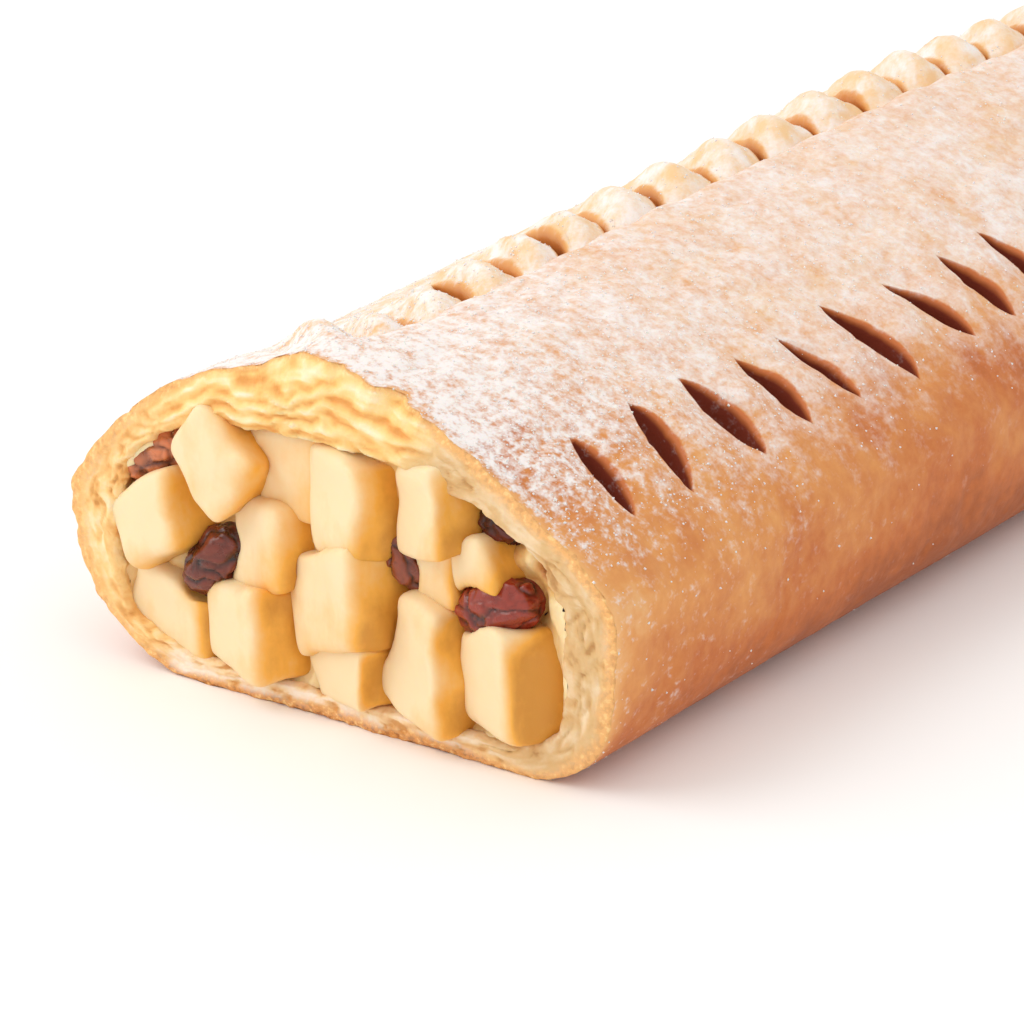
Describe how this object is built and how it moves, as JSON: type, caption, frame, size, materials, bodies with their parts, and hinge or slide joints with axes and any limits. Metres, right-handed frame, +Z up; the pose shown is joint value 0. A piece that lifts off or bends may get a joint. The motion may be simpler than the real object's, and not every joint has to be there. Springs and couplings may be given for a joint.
{
  "type": "apple strudel",
  "caption": "Baked pastry roll, cut open at one end, with a row of slits along each shoulder, a dusting of icing sugar, and diced apple and raisins at the cut.",
  "frame": {"origin": "centre of the bounding box in X and Y, at the flat sole the roll rests on", "axes": "+Z up, +Y along the roll from the cut end to the closed end, +X to the right when looking at the cut end's face along +Y"},
  "size_m": [0.1134, 0.3, 0.0647],
  "materials": {
    "baked_dough": "dry baked dough, golden brown on the outside and cream inside, dusted with icing sugar on top",
    "fruit_filling": "moist cooked apple filling",
    "apple_flesh": "moist cooked apple, cut in dice",
    "raisin": "moist dark raisin skin, wrinkled"
  },
  "bodies": {
    "root": {"pastry_crust": "baked_dough", "fruit_filling": "fruit_filling", "apple_01": "apple_flesh", "apple_02": "apple_flesh", "apple_03": "apple_flesh", "apple_04": "apple_flesh", "apple_05": "apple_flesh", "apple_06": "apple_flesh", "apple_07": "apple_flesh", "apple_08": "apple_flesh", "apple_09": "apple_flesh", "apple_10": "apple_flesh", "apple_11": "apple_flesh", "apple_12": "apple_flesh", "apple_13": "apple_flesh", "apple_14": "apple_flesh", "raisin_01": "raisin", "raisin_02": "raisin", "raisin_03": "raisin", "raisin_04": "raisin", "raisin_05": "raisin"}
  },
  "joints": []
}
